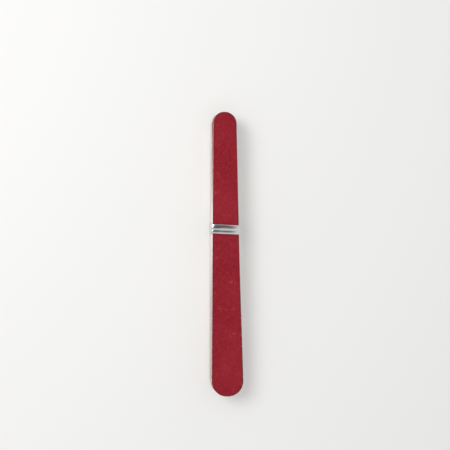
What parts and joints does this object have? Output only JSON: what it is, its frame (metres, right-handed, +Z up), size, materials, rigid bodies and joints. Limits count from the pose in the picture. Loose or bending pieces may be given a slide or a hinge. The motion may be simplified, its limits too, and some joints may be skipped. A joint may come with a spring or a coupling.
{
  "type": "emery board bundle",
  "caption": "Bundle of tapered, round-ended emery boards, each a card core between two red abrasive papers, held by a beaded foil band that slides off over the narrow ends.",
  "frame": {"origin": "on the table, under the middle of the bundle's box", "axes": "+Y along the boards towards their narrow ends, +Z up through the stack, +X across the boards"},
  "size_m": [0.0136, 0.121, 0.011],
  "materials": {
    "coarse_abrasive": "matte",
    "fine_abrasive": "matte",
    "card": "matte",
    "glue": "satin",
    "foil": "gloss"
  },
  "bodies": {
    "board_10": {"board_10_core": "card", "board_10_coarse_paper": "coarse_abrasive", "board_10_fine_paper": "fine_abrasive", "board_10_glue": "glue"},
    "band": {"foil_band": "foil", "band_glue": "glue"},
    "board_01": {"board_01_core": "card", "board_01_coarse_paper": "coarse_abrasive", "board_01_fine_paper": "fine_abrasive", "board_01_glue": "glue"},
    "board_02": {"board_02_core": "card", "board_02_coarse_paper": "coarse_abrasive", "board_02_fine_paper": "fine_abrasive", "board_02_glue": "glue"},
    "board_03": {"board_03_core": "card", "board_03_coarse_paper": "coarse_abrasive", "board_03_fine_paper": "fine_abrasive", "board_03_glue": "glue"},
    "board_04": {"board_04_core": "card", "board_04_coarse_paper": "coarse_abrasive", "board_04_fine_paper": "fine_abrasive", "board_04_glue": "glue"},
    "board_05": {"board_05_core": "card", "board_05_coarse_paper": "coarse_abrasive", "board_05_fine_paper": "fine_abrasive", "board_05_glue": "glue"},
    "board_06": {"board_06_core": "card", "board_06_coarse_paper": "coarse_abrasive", "board_06_fine_paper": "fine_abrasive", "board_06_glue": "glue"},
    "board_07": {"board_07_core": "card", "board_07_coarse_paper": "coarse_abrasive", "board_07_fine_paper": "fine_abrasive", "board_07_glue": "glue"},
    "board_08": {"board_08_core": "card", "board_08_coarse_paper": "coarse_abrasive", "board_08_fine_paper": "fine_abrasive", "board_08_glue": "glue"},
    "board_09": {"board_09_core": "card", "board_09_coarse_paper": "coarse_abrasive", "board_09_fine_paper": "fine_abrasive", "board_09_glue": "glue"}
  },
  "joints": [
    {"name": "band_slide", "type": "slide", "parent": "board_10", "child": "band", "axis": [0, 1, 0], "range_m": [0, 0.053]},
    {"name": "board_01_slide", "type": "slide", "parent": "board_10", "child": "board_01", "axis": [0, -1, 0], "range_m": [0, 0.053]},
    {"name": "board_02_slide", "type": "slide", "parent": "board_10", "child": "board_02", "axis": [0.0096, -1, 0], "range_m": [0, 0.053]},
    {"name": "board_03_slide", "type": "slide", "parent": "board_10", "child": "board_03", "axis": [0.001, -1, 0], "range_m": [0, 0.053]},
    {"name": "board_04_slide", "type": "slide", "parent": "board_10", "child": "board_04", "axis": [0.0024, -1, 0], "range_m": [0, 0.053]},
    {"name": "board_05_slide", "type": "slide", "parent": "board_10", "child": "board_05", "axis": [-0.0014, -1, 0], "range_m": [0, 0.053]},
    {"name": "board_06_slide", "type": "slide", "parent": "board_10", "child": "board_06", "axis": [0.0019, -1, 0], "range_m": [0, 0.053]},
    {"name": "board_07_slide", "type": "slide", "parent": "board_10", "child": "board_07", "axis": [-0.0005, -1, 0], "range_m": [0, 0.053]},
    {"name": "board_08_slide", "type": "slide", "parent": "board_10", "child": "board_08", "axis": [0.0029, -1, 0], "range_m": [0, 0.053]},
    {"name": "board_09_slide", "type": "slide", "parent": "board_10", "child": "board_09", "axis": [-0.001, -1, 0], "range_m": [0, 0.053]}
  ]
}
